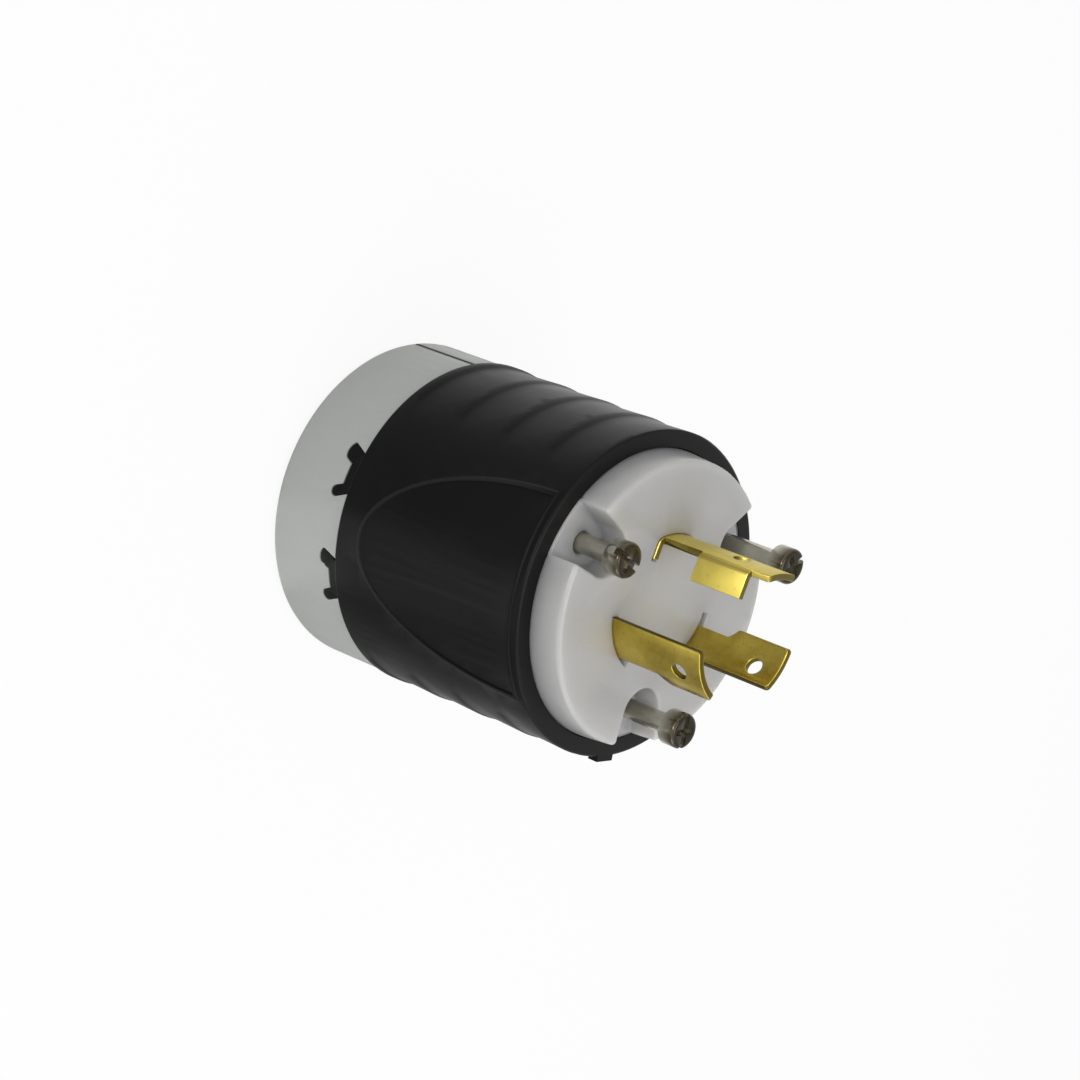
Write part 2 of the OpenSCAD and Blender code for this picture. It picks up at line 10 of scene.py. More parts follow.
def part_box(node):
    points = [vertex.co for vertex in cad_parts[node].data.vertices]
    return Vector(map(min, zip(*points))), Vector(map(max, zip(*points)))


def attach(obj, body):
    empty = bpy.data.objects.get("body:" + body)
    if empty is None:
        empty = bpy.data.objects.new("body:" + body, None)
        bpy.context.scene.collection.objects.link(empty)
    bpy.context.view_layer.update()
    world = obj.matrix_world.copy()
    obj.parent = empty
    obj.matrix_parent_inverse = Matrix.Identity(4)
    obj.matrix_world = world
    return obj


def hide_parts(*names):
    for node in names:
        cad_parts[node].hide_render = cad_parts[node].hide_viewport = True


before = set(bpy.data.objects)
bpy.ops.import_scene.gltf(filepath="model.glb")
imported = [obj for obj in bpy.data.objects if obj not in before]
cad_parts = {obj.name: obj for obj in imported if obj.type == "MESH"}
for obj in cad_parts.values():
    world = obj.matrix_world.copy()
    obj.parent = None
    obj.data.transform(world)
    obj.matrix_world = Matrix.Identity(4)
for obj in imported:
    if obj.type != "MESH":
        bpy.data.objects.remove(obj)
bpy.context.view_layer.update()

bl_info = {
    "name": "Twist-lock plug",
    "version": (1, 0, 0),
    "blender": (4, 5, 0),
    "location": "View3D > Sidebar > Plug",
    "description": "Dresses the solids of a twist-lock plug with finished pieces and materials",
    "category": "Object",
}

MM = 0.001

# Parts of the names of like pieces
CONTACTS = ("neutral", "line", "ground")
CLAMP_SIDES = ("upper", "lower")
NUMBERS = (1, 2, 3)

# Distance at which points of a mesh become one, angle under which its faces are joined, and angles
# over which its edges are rounded and its shading breaks
WELD = 0.01 * MM
FLAT = math.radians(0.6)
SHARP = math.radians(32)
CREASE = math.radians(34)

# Height and radius of the grip shell's cone at its two ends
SHELL_REAR = (16.3 * MM, 28.5 * MM)
SHELL_FRONT = (58.5 * MM, 27.95 * MM)

# Edges of the shell that stay crisp: those inside a radius, those of the nub, beyond a y and a z,
# and those of the first scoops, within an x and a z
SHELL_BORE = 27.0 * MM
NUB = (-27.0 * MM, 55.0 * MM)
FIRST_SCOOPS = (6.0 * MM, 20.0 * MM)

# Bead on the shell, which gets a painted highlight: how far it stands out where that starts and is
# full, the heights where it ends at its lower and upper side, the y of these sides, and half the
# length over which it fades
BEAD_PROUD = (0.12 * MM, 0.24 * MM)
BEAD_END = (36.0 * MM, 53.0 * MM)
BEAD_SIDE = 6.0 * MM
BEAD_FADE = 4.0 * MM

# Claws of the shell: height of their roots, reach, how far down they go, place of a pair, and
# place and lean of its prongs, with the half width of a prong, what is added to it, and the margin
# within which a point belongs to it
CLAW_Z = 16.3 * MM
CLAW_REACH = (24.7 * MM, 28.2 * MM)
CLAW_LOW = 4.2 * MM
CLAW_Y = 9.0 * MM
CLAW_ROOT = 2.2 * MM
CLAW_LEAN = math.tan(math.radians(22))
PRONG_HALF = 0.917 * MM
PRONG_WIDER = 0.45 * MM
PRONG_MARGIN = 0.2 * MM

# Distance of the clamp's split from the plane of the axis, and where the painted shade along it
# starts to fade and ends
SPLIT = 2.9 * MM
SEAM_SHADE_REACH = (0.35 * MM, 0.75 * MM)

# Face: height over which its edges are rounded, radius within which the blade slots lie, and the
# share of the rounding that these get
FACE_LOW = 57.0 * MM
SLOTS_REACH = 13.6 * MM
SLOT_SHARE = 0.15

# Height over which the edges of the blades are rounded
BLADE_LOW = 64.0 * MM

# Directions on a piece whose faces get painted shade: to the front, and out of the bend of the
# ground blade's tab
FRONT = (0.0, 0.0, 1.0)
BEND = (-0.731, 0.682, 0.0)

# Name of the marks on a screw's top, where a dark reflection is painted, and the height of that top
HEAD = "head"
DARK_TOP = 0.9 * MM

# Relief of moulded and of metal surfaces
NYLON_RELIEF = 0.05 * MM
METAL_RELIEF = 0.02 * MM

# Strength of scuffs and marks, and share of the grain in the mottling of moulded colours
SCUFF_SHARE = 0.22
MARK_SHARE = 0.5
GRAIN_SHARE = 0.85

# Shares of a base colour that the bead's painted highlight, the painted shade along the clamp's
# split and the marks on metal have
BEAD_HIGHLIGHT_TINT = 3.0
SEAM_SHADE_TINT = 0.12
MARK_TINT = 0.55

# How far red, green and blue light spreads in nylon, as shares of the depth
NYLON_SPREAD = (1.0, 0.95, 0.8)

# Camera: sensor and lens in millimetres, nearest and farthest distance, place and directions
SENSOR = 36.0
LENS = 106.67
CLIP = (0.01, 10.0)
CAMERA_PLACE = (-392.55 * MM, 113.81 * MM, 381.88 * MM)
CAMERA_AHEAD = (0.7334, -0.2077, -0.6472)
CAMERA_UP = (0.0278, 0.9605, -0.2768)

# Floor: size, share of its light that is plain white to the camera and in reflections, height
# from which reflections look at it, and their brightness on the dark and on the bright side
FLOOR_SIZE = 6.0
FLOOR_SHOWN = 0.9
FLOOR_SHINE = 0.9
SHINE_FROM = (0.0, 0.0, 60.0 * MM)
SHINE = (0.3, 1.0)

# Direction in which the floor is painted brighter for reflections alone, a painted reflection that
# metal shows
PAINTED_SHINE_SIDE = (0.95, 0.3, 0.0)

# Direction of a narrow band that the floor paints bright for reflections alone, which round metal
# shows as a painted glint, and where its light starts and is full, as cosines of the angle to that
# direction
PAINTED_GLINT_BAND = (-0.96, -0.28, 0.0)
PAINTED_GLINT_EDGE = (0.9, 0.98)

# Strength of the world's light on the object
WORLD_LIGHT = 0.42

# Lamps that light everything: name, place, width in metres and power in watts
LAMPS_AIM = (0.0, 0.0, 0.043)
LAMPS = (
    ("key_lamp", (-0.614704, 0.13685, 0.383959), 0.2, 0.95),
    ("side_lamp", (-0.55, 0.25, 0.14), 0.3, 0.3),
    ("low_lamp", (-0.15, -0.55, 0.22), 0.4, 0.6),
    ("front_lamp", (-0.02, 0.0, 0.68), 0.4, 1.3),
    ("face_lamp", (0.0, -0.16, 0.36), 0.3, 0.22),
)

# Lamp for the ground blade alone, where it aims, and the collection of what it lights
BLADE_LAMP = ("blade_lamp", (-0.55, 0.26, 0.1), 0.15, 5.5)
BLADE_LAMP_AIM = (0.0, 0.008, 0.077)
LINKED = "blade_light"


# Sizes and colours that a user would change


def edge_size(name, description, default, low, high):
    """A length property, given in millimetres."""
    return bpy.props.FloatProperty(
        name=name,
        description=description,
        default=default * MM,
        min=low * MM,
        max=high * MM,
        precision=5,
        unit="LENGTH",
    )


class PlugSizes(bpy.types.PropertyGroup):
    """Edge sizes of the finished pieces."""

    shell_edge: edge_size("Shell edge", "Rounding of the grip shell's edges", 0.18, 0.02, 0.5)
    clamp_edge: edge_size("Clamp edge", "Rounding of the clamp halves' edges", 0.14, 0.05, 0.4)
    notch_edge: edge_size("Notch edge", "Rounding of the face's screw notches", 0.55, 0.05, 0.7)
    blade_edge: edge_size("Blade edge", "Rounding of the blades' stamped edges", 0.14, 0.02, 0.4)
    screw_edge: edge_size("Screw edge", "Rounding of the edges of a screw's slot", 0.1, 0.02, 0.3)


def colour(name, description, default):
    """A colour property in linear light."""
    return bpy.props.FloatVectorProperty(
        name=name,
        description=description,
        default=default,
        size=3,
        min=0,
        max=1,
        subtype="COLOR",
    )


class PlugColours(bpy.types.PropertyGroup):
    """Colours of the finishes."""

    black: colour("Black nylon", "Colour of the grip shell", (0.0055, 0.0055, 0.0057))
    clamp: colour("Clamp nylon", "Colour of the cord clamp", (0.415, 0.43, 0.41))
    face: colour("Face nylon", "Colour of the face", (0.42, 0.42, 0.42))
    brass: colour("Brass", "Colour of the bright brass", (0.66, 0.51, 0.1))
    tarnish: colour("Tarnish", "Colour of the darkened brass", (0.44, 0.33, 0.052))
    ground: colour("Ground brass", "Colour of the ground blade", (0.55, 0.44, 0.088))
    nickel: colour("Nickel", "Colour of the plated screws", (0.56, 0.54, 0.45))
    # Screw head and cap: painted dark reflection on the rims and tops of the screws' heads
    head: colour("Screw head", "Colour of the rims of the screws' heads", (0.1, 0.085, 0.055))
    cap: colour("Screw cap", "Colour of the tops of the screws", (0.03, 0.024, 0.015))
    rubber: colour("Rubber", "Colour of the cord grommet", (0.018, 0.018, 0.018))
    floor: colour("Floor", "Colour of the floor", (0.93, 0.93, 0.93))


def sizes():
    """The sizes that are set in the scene."""
    return bpy.context.scene.plug_sizes


def colours():
    """The colours that are set in the scene."""
    return bpy.context.scene.plug_colours


# Helpers for nodes


def put(tree, kind, place, settings=None, **inputs):
    """Adds a node at a place, with its settings and the values of its named inputs."""
    node = tree.nodes.new(kind)
    node.location = place
    for key, value in (settings or {}).items():
        setattr(node, key, value)
    for key, value in inputs.items():
        node.inputs[key.replace("_", " ")].default_value = value
    return node


def put_math(tree, operation, place, second=None, clamp=False):
    """Adds a node that reckons with numbers, the second of which may be fixed."""
    node = put(tree, "ShaderNodeMath", place, {"operation": operation, "use_clamp": clamp})
    if second is not None:
        node.inputs[1].default_value = second
    return node


def put_vector_math(tree, operation, place, second=None):
    """Adds a node that reckons with vectors, the second of which may be fixed."""
    node = put(tree, "ShaderNodeVectorMath", place, {"operation": operation})
    if second is not None:
        node.inputs[1].default_value = second
    return node


def put_group(tree, group, place, **inputs):
    """Adds a node that holds a node group."""
    return put(tree, "ShaderNodeGroup", place, {"node_tree": group}, **inputs)


def new_group(name, inputs, outputs):
    """Starts a shader node group with named number sockets."""
    tree = bpy.data.node_groups.new(name, "ShaderNodeTree")
    for label, default in inputs:
        socket = tree.interface.new_socket(label, in_out="INPUT", socket_type="NodeSocketFloat")
        socket.default_value = default
    for label in outputs:
        tree.interface.new_socket(label, in_out="OUTPUT", socket_type="NodeSocketFloat")
    start = put(tree, "NodeGroupInput", (-900, 0))
    end = put(tree, "NodeGroupOutput", (700, 0))
    return tree, start.outputs, end.inputs


def moulded_surface():
    """Grain, slow colour drift and fine scuffs of a moulded piece."""
    name = "Moulded surface"
    if name in bpy.data.node_groups:
        return bpy.data.node_groups[name]
    tree, given, out = new_group(
        name,
        [("Grain Scale", 2600.0), ("Drift Scale", 90.0), ("Scuff Scale", 420.0)],
        ["Height", "Drift", "Scuff"],
    )
    link = tree.links.new
    spot = put(tree, "ShaderNodeTexCoord", (-900, -260))
    grain = put(tree, "ShaderNodeTexNoise", (-500, 240), Detail=3.0, Roughness=0.6)
    drift = put(tree, "ShaderNodeTexNoise", (-500, 0), Detail=2.0, Roughness=0.5)
    turned = put(
        tree, "ShaderNodeMapping", (-700, -260), Rotation=(0.5, 0.9, 0.3), Scale=(1.0, 0.09, 1.0)
    )
    scuff = put(tree, "ShaderNodeTexNoise", (-500, -260), Detail=5.0, Roughness=0.7)
    keep = put(tree, "ShaderNodeMapRange", (-200, -260), From_Min=0.62, From_Max=0.78)
    settle = put(
        tree, "ShaderNodeMapRange", (-200, 0), {"interpolation_type": "SMOOTHSTEP"},
        From_Min=0.2, From_Max=0.8
    )
    for texture, scale in ((grain, "Grain Scale"), (drift, "Drift Scale"), (scuff, "Scuff Scale")):
        link(given[scale], texture.inputs["Scale"])
    for target in (grain, drift, turned):
        link(spot.outputs["Object"], target.inputs["Vector"])
    link(turned.outputs["Vector"], scuff.inputs["Vector"])
    link(drift.outputs["Fac"], settle.inputs["Value"])
    link(scuff.outputs["Fac"], keep.inputs["Value"])
    link(grain.outputs["Fac"], out["Height"])
    link(settle.outputs["Result"], out["Drift"])
    link(keep.outputs["Result"], out["Scuff"])
    return tree


def bead_highlight_mask():
    """Mask of what stands out from the shell's cone below its rim, for a painted highlight."""
    name = "Raised bead"
    if name in bpy.data.node_groups:
        return bpy.data.node_groups[name]
    tree, _, out = new_group(name, [], ["Raised"])
    link = tree.links.new
    spot = put(tree, "ShaderNodeTexCoord", (-900, 100))
    parts = put(tree, "ShaderNodeSeparateXYZ", (-700, -160))
    flat = put_vector_math(tree, "MULTIPLY", (-700, 100), (1.0, 1.0, 0.0))
    reach = put_vector_math(tree, "LENGTH", (-500, 100))
    cone = put(
        tree, "ShaderNodeMapRange", (-500, -160),
        From_Min=SHELL_REAR[0], From_Max=SHELL_FRONT[0],
        To_Min=SHELL_REAR[1], To_Max=SHELL_FRONT[1]
    )
    proud = put_math(tree, "SUBTRACT", (-250, 100))
    rubbed = put(
        tree, "ShaderNodeMapRange", (0, 100), From_Min=BEAD_PROUD[0], From_Max=BEAD_PROUD[1]
    )
    end = put(
        tree, "ShaderNodeMapRange", (-500, -420),
        From_Min=-BEAD_SIDE, From_Max=BEAD_SIDE, To_Min=BEAD_END[0], To_Max=BEAD_END[1]
    )
    left = put_math(tree, "SUBTRACT", (-250, -160))
    below = put(tree, "ShaderNodeMapRange", (0, -160), From_Min=-BEAD_FADE, From_Max=BEAD_FADE)
    both = put_math(tree, "MULTIPLY", (300, 0))
    link(spot.outputs["Object"], flat.inputs[0])
    link(spot.outputs["Object"], parts.inputs["Vector"])
    link(flat.outputs["Vector"], reach.inputs[0])
    link(parts.outputs["Z"], cone.inputs["Value"])
    link(parts.outputs["Y"], end.inputs["Value"])
    link(end.outputs["Result"], left.inputs[0])
    link(parts.outputs["Z"], left.inputs[1])
    link(left.outputs["Value"], below.inputs["Value"])
    link(reach.outputs["Value"], proud.inputs[0])
    link(cone.outputs["Result"], proud.inputs[1])
    link(proud.outputs["Value"], rubbed.inputs["Value"])
    link(rubbed.outputs["Result"], both.inputs[0])
    link(below.outputs["Result"], both.inputs[1])
    link(both.outputs["Value"], out["Raised"])
    return tree


def seam_shade_mask():
    """Mask of the dark line of painted shade along the split between the clamp halves."""
    name = "Seam grime"
    if name in bpy.data.node_groups:
        return bpy.data.node_groups[name]
    tree, _, out = new_group(name, [], ["Grime"])
    link = tree.links.new
    spot = put(tree, "ShaderNodeTexCoord", (-900, 100))
    parts = put(tree, "ShaderNodeSeparateXYZ", (-700, 100))
    above = put_math(tree, "SIGN", (-500, -80))
    across = put_math(tree, "MULTIPLY", (-300, 100))
    apart = put_math(tree, "ADD", (-100, 100), SPLIT)
    width = put_math(tree, "ABSOLUTE", (100, 100))
    line = put(
        tree, "ShaderNodeMapRange", (300, 100),
        From_Min=SEAM_SHADE_REACH[0], From_Max=SEAM_SHADE_REACH[1], To_Min=1.0, To_Max=0.0
    )
    link(spot.outputs["Object"], parts.inputs["Vector"])
    link(parts.outputs["Y"], above.inputs[0])
    link(parts.outputs["X"], across.inputs[0])
    link(above.outputs["Value"], across.inputs[1])
    link(across.outputs["Value"], apart.inputs[0])
    link(apart.outputs["Value"], width.inputs[0])
    link(width.outputs["Value"], line.inputs["Value"])
    link(line.outputs["Result"], out["Grime"])
    return tree


def metal_surface():
    """Rolling streaks along the axis, patches of tarnish and small marks of a metal piece."""
    name = "Metal surface"
    if name in bpy.data.node_groups:
        return bpy.data.node_groups[name]
    tree, given, out = new_group(
        name,
        [("Streak Scale", 2200.0), ("Patch Scale", 160.0), ("Mark Scale", 900.0)],
        ["Streak", "Patch", "Mark"],
    )
    link = tree.links.new
    spot = put(tree, "ShaderNodeTexCoord", (-900, 100))
    drawn = put(tree, "ShaderNodeMapping", (-700, 240), Scale=(1.0, 1.0, 0.035))
    streak = put(tree, "ShaderNodeTexNoise", (-500, 240), Detail=3.0, Roughness=0.65)
    patch = put(tree, "ShaderNodeTexNoise", (-500, 0), Detail=6.0, Roughness=0.62, Distortion=0.4)
    mark = put(tree, "ShaderNodeTexVoronoi", (-500, -260), {"feature": "F1"})
    spread = put(tree, "ShaderNodeMapRange", (-200, 0), From_Min=0.34, From_Max=0.66)
    small = put(tree, "ShaderNodeMapRange", (-200, -260), From_Min=0.22, From_Max=0.05)
    for texture, scale in ((streak, "Streak Scale"), (patch, "Patch Scale"), (mark, "Mark Scale")):
        link(given[scale], texture.inputs["Scale"])
    for target in (drawn, patch, mark):
        link(spot.outputs["Object"], target.inputs["Vector"])
    link(drawn.outputs["Vector"], streak.inputs["Vector"])
    link(patch.outputs["Fac"], spread.inputs["Value"])
    link(mark.outputs["Distance"], small.inputs["Value"])
    link(streak.outputs["Fac"], out["Streak"])
    link(spread.outputs["Result"], out["Patch"])
    link(small.outputs["Result"], out["Mark"])
    return tree


def facing():
    """Mask of the faces that point one way on the piece, where painted shade is laid."""
    name = "Facing"
    if name in bpy.data.node_groups:
        return bpy.data.node_groups[name]
    tree, given, out = new_group(
        name, [("X", 0.0), ("Y", 0.0), ("Z", 1.0), ("Low", 0.55), ("High", 0.9)], ["Mask"]
    )
    link = tree.links.new
    spot = put(tree, "ShaderNodeTexCoord", (-600, 160))
    aim = put(tree, "ShaderNodeCombineXYZ", (-600, -80))
    along = put_vector_math(tree, "DOT_PRODUCT", (-350, 60))
    mask = put(tree, "ShaderNodeMapRange", (0, 60))
    for axis in "XYZ":
        link(given[axis], aim.inputs[axis])
    link(spot.outputs["Normal"], along.inputs[0])
    link(aim.outputs["Vector"], along.inputs[1])
    link(along.outputs["Value"], mask.inputs["Value"])
    link(given["Low"], mask.inputs["From Min"])
    link(given["High"], mask.inputs["From Max"])
    link(mask.outputs["Result"], out["Mask"])
    return tree


def sheared_edges():
    """Mask of the cut edges of a blade that is curved about the axis, which get painted shade."""
    name = "Sheared edges"
    if name in bpy.data.node_groups:
        return bpy.data.node_groups[name]
    tree, _, out = new_group(name, [], ["Edge"])
    link = tree.links.new
    spot = put(tree, "ShaderNodeTexCoord", (-900, 100))
    flat = put_vector_math(tree, "MULTIPLY", (-700, 100), (1.0, 1.0, 0.0))
    outward = put_vector_math(tree, "NORMALIZE", (-500, 100))
    along = put_vector_math(tree, "DOT_PRODUCT", (-300, 100))
    slant = put_math(tree, "ABSOLUTE", (-100, 100))
    edge = put(
        tree, "ShaderNodeMapRange", (100, 100), From_Min=0.2, From_Max=0.5, To_Min=1.0, To_Max=0.0
    )
    link(spot.outputs["Object"], flat.inputs[0])
    link(flat.outputs["Vector"], outward.inputs[0])
    link(outward.outputs["Vector"], along.inputs[0])
    link(spot.outputs["Normal"], along.inputs[1])
    link(along.outputs["Value"], slant.inputs[0])
    link(slant.outputs["Value"], edge.inputs["Value"])
    link(edge.outputs["Result"], out["Edge"])
    return tree


def new_finish(name):
    """Starts a material: the material, its tree, its links and its shader."""
    finish = bpy.data.materials.new(name)
    finish.use_nodes = True
    tree = finish.node_tree
    shader = next(node for node in tree.nodes if node.type == "BSDF_PRINCIPLED")
    shader.location = (300, 0)
    return finish, tree, tree.links.new, shader


def blend_colours(tree, place, first, second):
    """A mix of two colours: its factor, its first colour and its result."""
    node = put(tree, "ShaderNodeMix", place, {"data_type": "RGBA"}, A=(*first, 1), B=(*second, 1))
    return node.inputs["Factor"], node.inputs["A"], node.outputs["Result"]


def cover(tree, place, under, mask, shade):
    """Lays a colour over another one where a mask says so."""
    factor, first, result = blend_colours(tree, place, shade, shade)
    tree.links.new(mask, factor)
    tree.links.new(under, first)
    return result


def tint(base, share):
    """A darker or paler share of a colour."""
    return tuple(min(1.0, channel * share) for channel in base)


def nylon_finish(
    name,
    base,
    low,
    high,
    rough,
    grain,
    bump,
    scuffed,
    gleam=0.5,
    soft=0.0,
    depth=2.5 * MM,
    bead=False,
    seam=False,
):
    """Moulded nylon or rubber: a drifting colour, pale scuffs, a fine grain and an uneven gloss.

    low, high and scuffed are shares of the base colour, rough is the range of the roughness, grain
    the scale of the grain and bump its strength. gleam is the strength of reflections, and soft the
    share of light that spreads below the surface, as far as depth. bead and seam say whether the
    piece gets a painted highlight on the shell's bead or painted shade along the clamp's split.
    """
    if name in bpy.data.materials:
        return bpy.data.materials[name]
    finish, tree, link, shader = new_finish(name)
    surface = put_group(tree, moulded_surface(), (-700, 0), Grain_Scale=grain)
    factor, _, drifting = blend_colours(tree, (-400, 200), tint(base, low), tint(base, high))
    worn, under, shade = blend_colours(tree, (-150, 200), base, tint(base, scuffed))
    faint = put_math(tree, "MULTIPLY", (-400, -40), SCUFF_SHARE)
    gloss = put(tree, "ShaderNodeMapRange", (-150, -120), To_Min=rough[0], To_Max=rough[1])
    relief = put(tree, "ShaderNodeBump", (60, -320), Strength=bump, Distance=NYLON_RELIEF)
    mottle = put(tree, "ShaderNodeMix", (-560, 200), {"data_type": "FLOAT"}, Factor=GRAIN_SHARE)
    link(surface.outputs["Drift"], mottle.inputs["A"])
    link(surface.outputs["Height"], mottle.inputs["B"])
    link(mottle.outputs["Result"], factor)
    link(surface.outputs["Scuff"], faint.inputs[0])
    link(faint.outputs["Value"], worn)
    link(drifting, under)
    if bead:
        # Painted highlight: the bead's raised parts get a paler tint of the base colour
        mask = put_group(tree, bead_highlight_mask(), (-400, 420)).outputs["Raised"]
        shade = cover(tree, (60, 300), shade, mask, tint(base, BEAD_HIGHLIGHT_TINT))
    if seam:
        # Painted shade: a dark line along the split between the clamp halves
        mask = put_group(tree, seam_shade_mask(), (-400, 420)).outputs["Grime"]
        shade = cover(tree, (60, 300), shade, mask, tint(base, SEAM_SHADE_TINT))
    link(shade, shader.inputs["Base Color"])
    link(surface.outputs["Drift"], gloss.inputs["Value"])
    link(gloss.outputs["Result"], shader.inputs["Roughness"])
    link(surface.outputs["Height"], relief.inputs["Height"])
    link(relief.outputs["Normal"], shader.inputs["Normal"])
    shader.inputs["Specular IOR Level"].default_value = gleam
    if soft:
        shader.inputs["Subsurface Weight"].default_value = soft
        shader.inputs["Subsurface Radius"].default_value = NYLON_SPREAD
        shader.inputs["Subsurface Scale"].default_value = depth
    return finish


def metal_finish(
    name,
    bright,
    dull,
    rough,
    bump,
    metal=1.0,
    streak=2200.0,
    patch=160.0,
    cut_edge_shade=None,
    head=None,
    facing_shades=(),
):
    """Stamped or turned metal: streaks, patches of tarnish, small marks and painted shade.

    bright and dull are the colours of clean and tarnished metal, rough is the range of the
    roughness, bump the strength of the streaks, and streak and patch are scales. The edge colour is
    painted shade on a blade's cut edges, and head that of a painted dark reflection on the top of a
    screw's head. Each facing shade is a direction, the lowest and highest share of it in the faces'
    normals, and the colour of the painted shade laid there.
    """
    if name in bpy.data.materials:
        return bpy.data.materials[name]
    finish, tree, link, shader = new_finish(name)
    surface = put_group(tree, metal_surface(), (-700, 0), Streak_Scale=streak, Patch_Scale=patch)
    factor, _, patched = blend_colours(tree, (-400, 220), bright, dull)
    marked, under, shade = blend_colours(tree, (-150, 220), bright, tint(dull, MARK_TINT))
    faint = put_math(tree, "MULTIPLY", (-400, -20), MARK_SHARE)
    gloss = put(tree, "ShaderNodeMapRange", (-150, -120), To_Min=rough[0], To_Max=rough[1])
    relief = put(tree, "ShaderNodeBump", (60, -320), Strength=bump, Distance=METAL_RELIEF)
    link(surface.outputs["Patch"], factor)
    link(surface.outputs["Mark"], faint.inputs[0])
    link(faint.outputs["Value"], marked)
    link(patched, under)
    if cut_edge_shade:
        # Painted shade: the blade's cut edges get a dark colour
        mask = put_group(tree, sheared_edges(), (-400, 480)).outputs["Edge"]
        shade = cover(tree, (60, 300), shade, mask, cut_edge_shade)
    if head:
        # Painted dark reflection: the marked top of a screw's head gets the head colour
        marks = put(tree, "ShaderNodeAttribute", (-400, 680), {"attribute_name": HEAD})
        shade = cover(tree, (60, 480), shade, marks.outputs["Fac"], head)
    # Painted shade: faces that point along a direction get a darker colour
    for row, (aim, low, high, facing_shade) in enumerate(facing_shades):
        place = (-400, 880 + 240 * row)
        x, y, z = aim
        mask = put_group(tree, facing(), place, X=x, Y=y, Z=z, Low=low, High=high).outputs["Mask"]
        shade = cover(tree, (60, 660 + 180 * row), shade, mask, facing_shade)
    link(shade, shader.inputs["Base Color"])
    link(surface.outputs["Streak"], gloss.inputs["Value"])
    link(gloss.outputs["Result"], shader.inputs["Roughness"])
    link(surface.outputs["Streak"], relief.inputs["Height"])
    link(relief.outputs["Normal"], shader.inputs["Normal"])
    shader.inputs["Metallic"].default_value = metal
    return finish


def black_nylon():
    """Satin black of the grip shell, with a painted highlight on its bead."""
    return nylon_finish(
        "grip_black",
        colours().black,
        low=0.8,
        high=1.25,
        rough=(0.3, 0.42),
        grain=2600.0,
        bump=0.25,
        scuffed=1.9,
        gleam=0.115,
        bead=True,
    )


def clamp_nylon():
    """Greenish white of the cord clamp, with painted shade along its split."""
    return nylon_finish(
        "clamp_white",
        colours().clamp,
        low=0.95,
        high=1.05,
        rough=(0.342, 0.354),
        grain=1500.0,
        bump=0.18,
        scuffed=1.0,
        soft=0.15,
        seam=True,
    )


def face_nylon():
    """Milky white of the face, which light goes deep into."""
    return nylon_finish(
        "face_white",
        colours().face,
        low=0.96,
        high=1.04,
        rough=(0.262, 0.272),
        grain=1500.0,
        bump=0.1,
        scuffed=1.0,
        soft=0.9,
        depth=8.0 * MM,
    )


def rubber():
    """Dull black of the cord grommet."""
    return nylon_finish(
        "grommet_rubber",
        colours().rubber,
        low=0.8,
        high=1.2,
        rough=(0.7, 0.85),
        grain=1800.0,
        bump=0.5,
        scuffed=1.4,
    )


def brass():
    """Tarnished brass with painted shade on its cut edges."""
    return metal_finish(
        "blade_brass",
        colours().brass,
        colours().tarnish,
        rough=(0.24, 0.36),
        bump=0.12,
        cut_edge_shade=tint(colours().tarnish, 0.24),
    )


def ground_brass():
    """Cleaner brass, rolled to a softer shine, with painted shade in its tab's bend and on its tip.
    """
    return metal_finish(
        "ground_brass",
        colours().ground,
        tint(colours().ground, 0.8),
        rough=(0.36, 0.46),
        bump=0.1,
        metal=0.8,
        facing_shades=(
            # Painted shade in the bend of the tab and on the front-facing tip
            (BEND, 0.84, 0.95, tint(colours().ground, 0.45)),
            (FRONT, 0.55, 0.9, tint(colours().ground, 0.2)),
        ),
    )


def nickel():
    """Plating of the screws, with a painted dark reflection on the tops of their heads."""
    return metal_finish(
        "screw_nickel",
        colours().nickel,
        tint(colours().nickel, 0.75),
        rough=(0.12, 0.2),
        bump=0.05,
        metal=0.8,
        streak=3600.0,
        patch=260.0,
        head=colours().head,
        # Painted dark reflection on the screws' front-facing tops
        facing_shades=((FRONT, 0.55, 0.9, colours().cap),),
    )


# Helpers for pieces


def pick_alone(piece):
    """Makes a piece the only one that is selected, and the active one."""
    if bpy.context.mode != "OBJECT":
        bpy.ops.object.mode_set(mode="OBJECT")
    bpy.ops.object.select_all(action="DESELECT")
    piece.select_set(True)
    bpy.context.view_layer.objects.active = piece


def paint(node, finish):
    """Gives a CAD node a better material."""
    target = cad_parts[node]
    for holder in target.material_slots:
        holder.material = finish


def weigh_edges(piece, share):
    """Sets how much each sharp edge of a piece is rounded."""
    work = bmesh.new()
    work.from_mesh(piece.data)
    layers = work.edges.layers.float
    weight = layers.get("bevel_weight_edge") or layers.new("bevel_weight_edge")
    for edge in work.edges:
        sharp = edge.is_manifold and edge.calc_face_angle() > SHARP
        edge[weight] = share(edge) if sharp else 0.0
    work.to_mesh(piece.data)
    work.free()


def round_edges(piece, width, segments=2, share=None):
    """Rounds the sharp edges of a piece, all alike or each as share says."""
    if share:
        weigh_edges(piece, share)
    bevel = piece.modifiers.new("rounding", "BEVEL")
    bevel.width = width
    bevel.segments = segments
    bevel.limit_method = "WEIGHT" if share else "ANGLE"
    bevel.angle_limit = SHARP
    bevel.use_clamp_overlap = not share
    bpy.ops.object.modifier_apply(modifier=bevel.name)


def middle_of(edge):
    """The point half-way along an edge."""
    return (edge.verts[0].co + edge.verts[1].co) / 2


